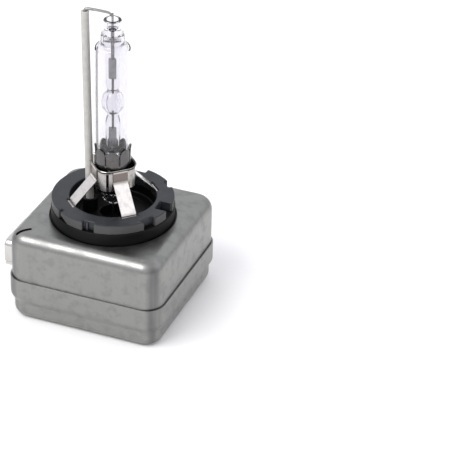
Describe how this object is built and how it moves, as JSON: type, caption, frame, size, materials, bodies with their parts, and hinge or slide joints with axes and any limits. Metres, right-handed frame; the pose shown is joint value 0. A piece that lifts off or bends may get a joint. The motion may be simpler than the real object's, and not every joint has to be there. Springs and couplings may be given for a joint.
{
  "type": "headlight bulb",
  "caption": "Gas-discharge headlight bulb: clear tube lamp held by sprung straps in a notched round cap, on a square sheet-metal igniter can with a side connector.",
  "frame": {"origin": "point on the lamp axis in the igniter can's flat rear face", "axes": "+Z along the lamp axis towards the tip; -X is the side that the connector leaves; +Y completes the right-handed set, square to the can"},
  "size_m": [0.0512, 0.0426, 0.0839],
  "materials": {
    "can_steel": "satin sheet steel with a fine grain",
    "shield_nickel": "bright nickel plate, slightly warm",
    "black_plastic": "moulded, satin black",
    "ring_plastic": "moulded, charcoal, faint mottle",
    "pin_tin": "tin plate",
    "quartz": "clear fused quartz",
    "sleeve_ceramic": "unglazed, warm light grey",
    "spring_steel": "stainless strip, satin",
    "crown_steel": "darkened stainless strip",
    "lead_nickel": "drawn nickel wire",
    "molybdenum": "thin grey foil",
    "tungsten": "ground tungsten",
    "board_laminate": "green solder mask",
    "ferrite": "dark sintered ferrite",
    "spool_plastic": "natural moulded plastic",
    "winding_copper": "enamelled copper wire",
    "gap_ceramic": "white alumina",
    "gap_metal": "plated end cap",
    "capacitor_case": "dipped red resin",
    "resistor_coat": "blue resin coat",
    "choke_case": "black shrink sleeve",
    "terminal_brass": "turned brass"
  },
  "bodies": {
    "root": {"front_shell": "can_steel", "rear_shell": "can_steel", "connector_shield": "shield_nickel", "cap_base": "black_plastic", "connector_insert": "black_plastic", "igniter_tray": "black_plastic", "cap_ring": "ring_plastic", "connector_pin_1": "pin_tin", "connector_pin_2": "pin_tin", "connector_pin_3": "pin_tin", "connector_pin_4": "pin_tin", "outer_bulb": "quartz", "arc_tube": "quartz", "ceramic_sleeve": "sleeve_ceramic", "clamp_band": "spring_steel", "support_strap_1": "spring_steel", "support_strap_2": "spring_steel", "support_strap_3": "spring_steel", "support_strap_4": "spring_steel", "strap_anchor_1": "spring_steel", "strap_anchor_2": "spring_steel", "strap_anchor_3": "spring_steel", "strap_anchor_4": "spring_steel", "clamp_crown": "crown_steel", "return_wire": "lead_nickel", "lead_lower": "lead_nickel", "lead_upper": "lead_nickel", "foil_lower": "molybdenum", "foil_upper": "molybdenum", "electrode_lower": "tungsten", "electrode_upper": "tungsten", "circuit_board": "board_laminate", "transformer_core": "ferrite", "transformer_spool": "spool_plastic", "secondary_winding": "winding_copper", "primary_winding": "winding_copper", "spark_gap_body": "gap_ceramic", "spark_gap_cap_a": "gap_metal", "spark_gap_cap_b": "gap_metal", "ignition_capacitor": "capacitor_case", "bleed_resistor": "resistor_coat", "filter_choke": "choke_case", "high_voltage_terminal": "terminal_brass", "high_voltage_strip": "terminal_brass", "return_terminal": "terminal_brass"}
  },
  "joints": []
}
